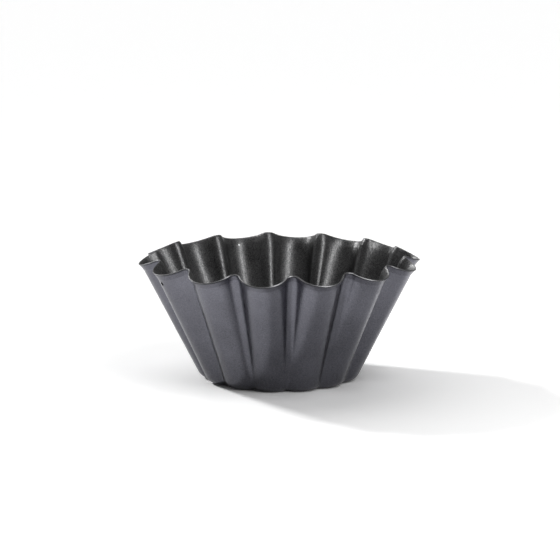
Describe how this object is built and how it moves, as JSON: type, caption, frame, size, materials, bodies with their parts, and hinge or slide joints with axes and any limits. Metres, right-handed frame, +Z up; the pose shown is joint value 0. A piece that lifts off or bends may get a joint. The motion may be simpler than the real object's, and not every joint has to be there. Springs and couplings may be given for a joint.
{
  "type": "brioche mould",
  "caption": "Deep fluted brioche mould of pressed steel, wider at its wavy rim than at its flat base, dark coated inside and out.",
  "frame": {"origin": "middle of the flat underside, on the surface that the mould stands on", "axes": "+Z up along the mould's axis, +X through the middle of a flute"},
  "size_m": [0.1996, 0.1958, 0.0888],
  "materials": {
    "bare_steel": "trimmed steel edge, dull with small glints",
    "nonstick_coat": "near-black semi-gloss non-stick coat with a fine metallic speckle",
    "satin_coat": "satin dark blue-grey coat"
  },
  "bodies": {
    "root": {"pressed_shell": "bare_steel", "inner_coat": "nonstick_coat", "outer_coat": "satin_coat"}
  },
  "joints": []
}
